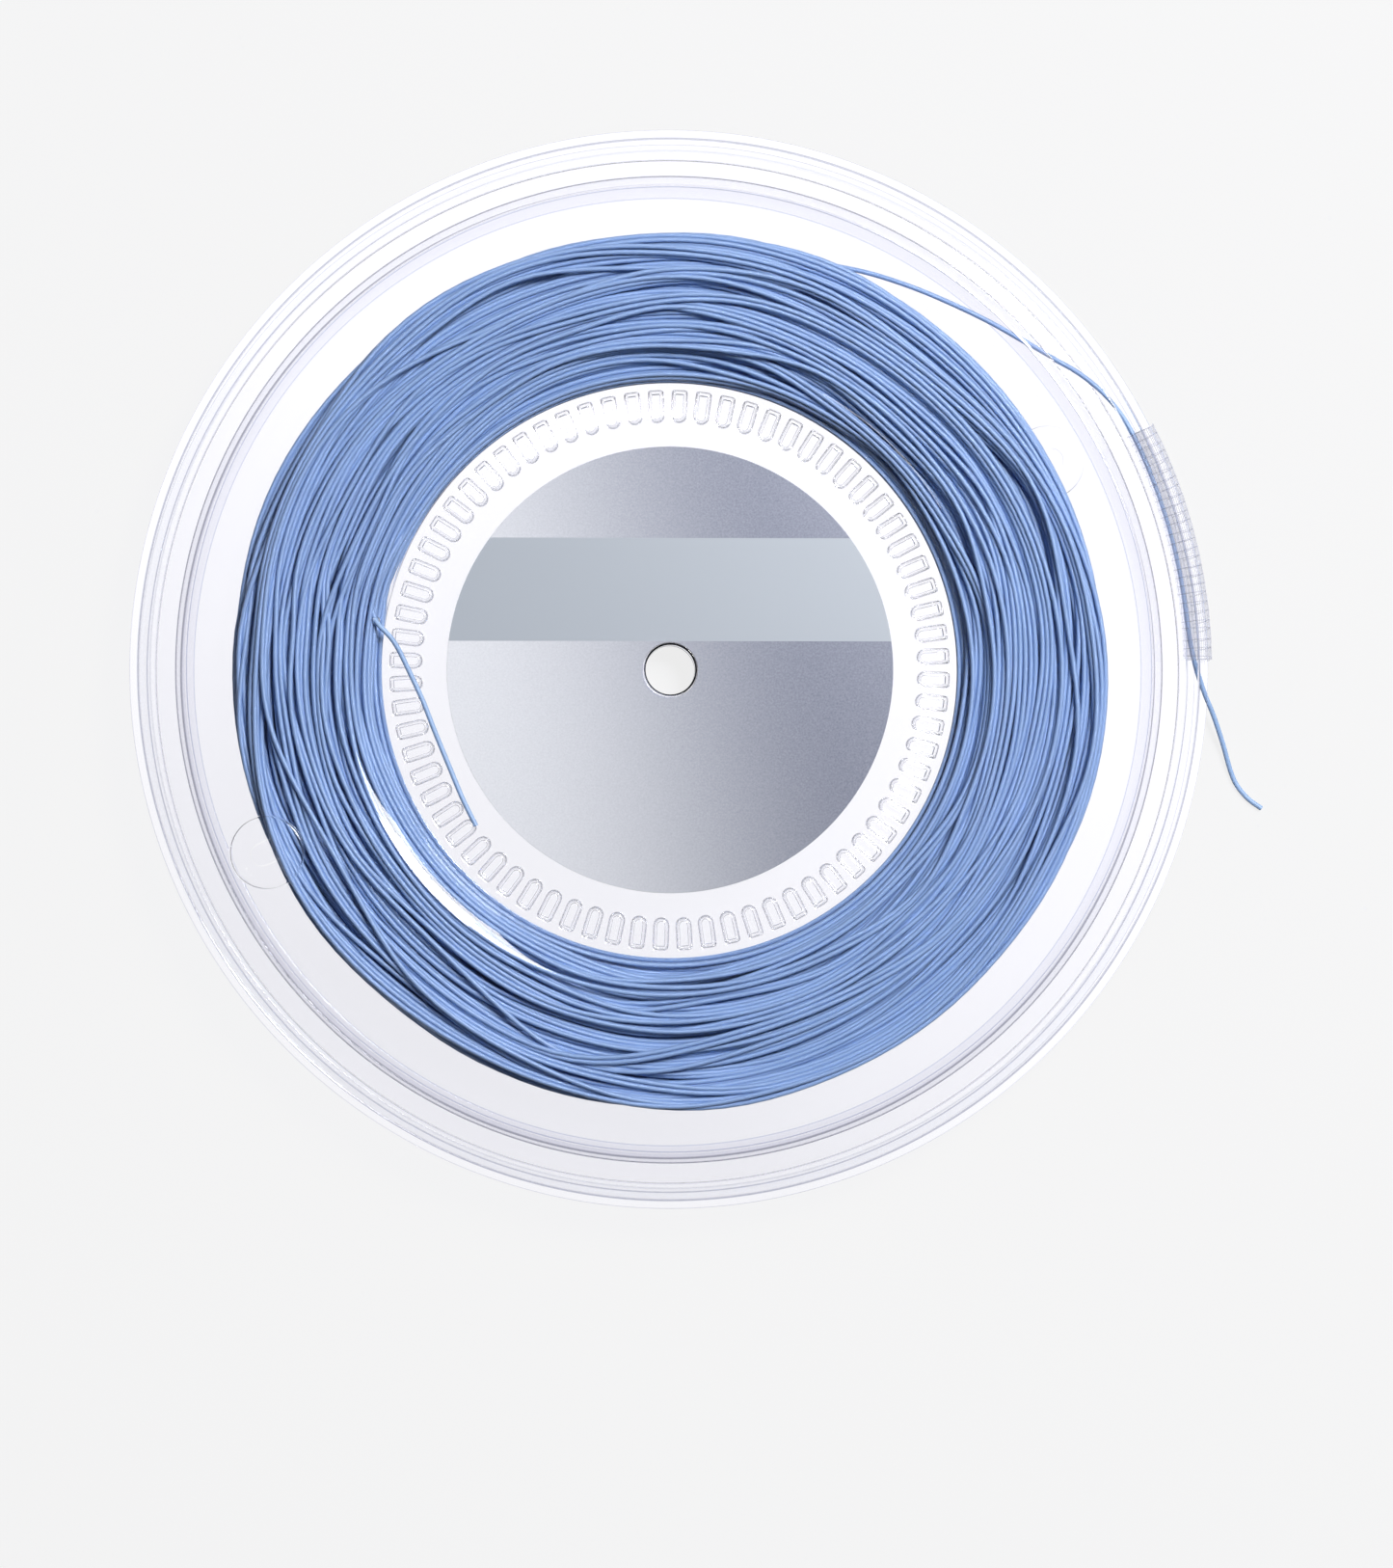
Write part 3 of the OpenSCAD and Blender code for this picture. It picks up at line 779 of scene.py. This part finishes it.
def tape_film():
    """Clear packing film, milky where it bridges the groove and all but unseen where it sticks to the rim."""
    m = new_material("clear polypropylene tape")
    place = node(m, "ShaderNodeTexCoord")
    flat = node(m, "ShaderNodeVectorMath", {"operation": "MULTIPLY", 1: (1.0, 1.0, 0.0)}, {0: place.outputs["Object"]})
    radius = node(m, "ShaderNodeVectorMath", {"operation": "LENGTH"}, {0: flat.outputs[0]})
    milk = node(m, "ShaderNodeMapRange",
                {"From Min": TAPE_STICKS_R[0] * MM, "From Max": TAPE_STICKS_R[1] * MM, "To Min": 0.26, "To Max": 0.04},
                {"Value": radius.outputs["Value"]})
    film = node(m, "ShaderNodeBsdfPrincipled", {"Base Color": linear("#DADCEC"), "Roughness": 0.25, "IOR": 1.49},
                {"Alpha": milk.outputs[0]})
    return show(m, film.outputs[0])


def tape_thread():
    """Glass-fibre threads set in the tape: pale grey and a little shiny."""
    m = new_material("glass fibre thread")
    thread = node(m, "ShaderNodeBsdfPrincipled", {"Base Color": linear("#BEC0D2"), "Roughness": 0.4, "Alpha": 0.3})
    return show(m, thread.outputs[0])


# ---------------------------------------------------------------- studio

BACKGROUND = "#F4F4F4"
LIT_SIDE = (0.45, 0.89, 0.0)
FLOOR_R = 6.0
# The floor is this far under the reel, in millimetres, so that the rim's face doesn't fall into it
FLOOR_GAP = 0.2
# Each lamp's direction and height in degrees, its distance and size in metres, and its power in watts
LAMPS = (
    ("key", 42, 66, 1.4, (0.1, 0.18), 4),
    ("key edge", 42, 64, 1.45, (0.18, 0.42), 5),
    ("key glow", 43, 60, 1.5, (0.28, 0.4), 9),
    ("key haze", 44, 57, 1.5, (0.5, 0.65), 10),
    ("low glow", 46, 6, 1.5, (0.5, 0.3), 0.8),
    ("strip", 225, 52, 1.4, (0.5, 0.06), 0.4),
)


def make_floor():
    """A pale table. Seen directly it is a little grey. Near the reel and seen through the clear sheet it is a white
    card, brighter on the lit side. From below it isn't there, so that the back of the reel can be looked at."""
    bm = bmesh.new()
    bmesh.ops.create_circle(bm, cap_ends=True, radius=FLOOR_R, segments=96,
                            matrix=Matrix.Translation((0, 0, -FLOOR_GAP * MM)))
    mesh = bpy.data.meshes.new("floor")
    bm.to_mesh(mesh)
    bm.free()
    floor = bpy.data.objects.new("floor", mesh)
    bpy.context.scene.collection.objects.link(floor)
    m = new_material("matt pale table")
    path = node(m, "ShaderNodeLightPath")
    matt = node(m, "ShaderNodeBsdfDiffuse", {"Color": linear("#C8C8CC")})
    seen = node(m, "ShaderNodeEmission", {"Color": linear(BACKGROUND), "Strength": 1.048})
    place = node(m, "ShaderNodeTexCoord")
    # Painted light: seen through the sheet, the table glows as a white card near the reel, brighter toward the lit
    # side
    lean = node(m, "ShaderNodeVectorMath", {"operation": "DOT_PRODUCT", 1: LIT_SIDE}, {0: place.outputs["Object"]})
    even = node(m, "ShaderNodeMapRange", {"From Min": -0.11, "From Max": 0.03, "To Min": 1.04, "To Max": 1.27},
                {"Value": lean.outputs["Value"]})
    behind = node(m, "ShaderNodeEmission", {"Color": linear("#FDFDFF")}, {"Strength": even.outputs[0]})
    direct = node(m, "ShaderNodeMath", {"operation": "MULTIPLY", 1: 0.88}, {0: path.outputs["Is Camera Ray"]})
    away = node(m, "ShaderNodeVectorMath", {"operation": "LENGTH"}, {0: place.outputs["Object"]})
    card = node(m, "ShaderNodeMapRange", {"From Min": 0.24, "From Max": 0.16, "To Min": 0.1, "To Max": 0.97},
                {"Value": away.outputs["Value"]})
    mirrored = node(m, "ShaderNodeMapRange", {"To Min": 1.0, "To Max": 0.75}, {"Value": path.outputs["Glossy Depth"]})
    seen_through = node(m, "ShaderNodeMath", {"operation": "MULTIPLY"},
                        {0: path.outputs["Is Transmission Ray"], 1: mirrored.outputs[0]})
    clear = node(m, "ShaderNodeMath", {"operation": "MULTIPLY"}, {0: seen_through.outputs[0], 1: card.outputs[0]})
    table = node(m, "ShaderNodeMixShader", {}, {0: direct.outputs[0], 1: matt.outputs[0], 2: seen.outputs[0]})
    table = node(m, "ShaderNodeMixShader", {}, {0: clear.outputs[0], 1: table.outputs[0], 2: behind.outputs[0]})
    side = node(m, "ShaderNodeNewGeometry")
    nothing = node(m, "ShaderNodeBsdfTransparent")
    table = node(m, "ShaderNodeMixShader", {},
                 {0: side.outputs["Backfacing"], 1: table.outputs[0], 2: nothing.outputs[0]})
    floor.data.materials.append(show(m, table.outputs[0]))


def make_world():
    """Soft light from the side of the key lamp, dark overhead. The camera sees a plain background, also straight
    through the clear sheet, and only a glimpse of the light in what the sheet mirrors."""
    world = bpy.data.worlds.new("studio")
    bpy.context.scene.world = world
    world.use_nodes = True
    world.node_tree.nodes.clear()
    place = node(world, "ShaderNodeTexCoord")
    lean = node(world, "ShaderNodeVectorMath", {"operation": "DOT_PRODUCT", 1: LIT_SIDE},
                {0: place.outputs["Generated"]})
    split = node(world, "ShaderNodeSeparateXYZ", {}, {0: place.outputs["Generated"]})
    level = node(world, "ShaderNodeMapRange", {"From Min": -0.2, "From Max": 0.9, "To Min": 0.02, "To Max": 0.14},
                 {"Value": lean.outputs["Value"]})
    open_sky = node(world, "ShaderNodeMapRange", {"From Min": 0.84, "From Max": 0.95, "To Min": 1.0, "To Max": 0.04},
                    {"Value": split.outputs["Z"]})
    strength = node(world, "ShaderNodeMath", {"operation": "MULTIPLY"}, {0: level.outputs[0], 1: open_sky.outputs[0]})
    lights = node(world, "ShaderNodeBackground", {"Color": linear("#F4F4FF")}, {"Strength": strength.outputs[0]})
    plain = node(world, "ShaderNodeBackground", {"Color": linear(BACKGROUND), "Strength": 1.0})
    side = node(world, "ShaderNodeMapRange", {"From Min": -0.6, "From Max": 0.7, "To Min": 0.0, "To Max": 0.12},
                {"Value": lean.outputs["Value"]})
    glimpse = node(world, "ShaderNodeBackground", {"Color": linear("#E8E8F4")}, {"Strength": side.outputs[0]})
    path = node(world, "ShaderNodeLightPath")
    mix = node(world, "ShaderNodeMixShader", {},
               {0: path.outputs["Is Transmission Ray"], 1: lights.outputs[0], 2: glimpse.outputs[0]})
    # A ray that went straight through the sheet has neither been mirrored nor lit a piece on its way
    bounces = node(world, "ShaderNodeMath", {"operation": "ADD"},
                   {0: path.outputs["Diffuse Depth"], 1: path.outputs["Glossy Depth"]})
    unmirrored = node(world, "ShaderNodeMath", {"operation": "LESS_THAN", 1: 0.5}, {0: bounces.outputs[0]})
    straight = node(world, "ShaderNodeMath", {"operation": "MULTIPLY"},
                    {0: path.outputs["Is Transmission Ray"], 1: unmirrored.outputs[0]})
    open_view = node(world, "ShaderNodeMath", {"operation": "MAXIMUM"},
                     {0: path.outputs["Is Camera Ray"], 1: straight.outputs[0]})
    mix = node(world, "ShaderNodeMixShader", {},
               {0: open_view.outputs[0], 1: mix.outputs[0], 2: plain.outputs[0]})
    node(world, "ShaderNodeOutputWorld", {}, {"Surface": mix.outputs[0]})


def softbox(name, azimuth, elevation, distance, size, power):
    """An area lamp that faces the reel from a direction in degrees."""
    lamp = bpy.data.lights.new(name, "AREA")
    lamp.shape = "RECTANGLE"
    lamp.size, lamp.size_y = size
    lamp.energy = power
    thing = bpy.data.objects.new(name, lamp)
    bpy.context.scene.collection.objects.link(thing)
    a, e = math.radians(azimuth), math.radians(elevation)
    thing.location = distance * Vector((math.cos(a) * math.cos(e), math.sin(a) * math.cos(e), math.sin(e)))
    thing.rotation_euler = (-thing.location).to_track_quat("-Z", "Y").to_euler()


def make_studio():
    """The floor, the world and the lamps, with enough bounces for light to get through both shells."""
    scene = bpy.context.scene
    scene.view_settings.view_transform = "Standard"
    scene.cycles.max_bounces = 24
    scene.cycles.transmission_bounces = 20
    scene.cycles.glossy_bounces = 20
    scene.cycles.transparent_max_bounces = 32
    make_floor()
    make_world()
    for lamp in LAMPS:
        softbox(*lamp)


set_camera()
string_material = polyester_string()
free_end("outer_tail", OUTER_TAIL, string_material)
free_end("inner_tail", INNER_TAIL, string_material)
make_winding(string_material)
sheet_material = clear_pet()
make_shells(sheet_material)
make_labels(silver_film())
make_tape(tape_film(), tape_thread())
make_studio()
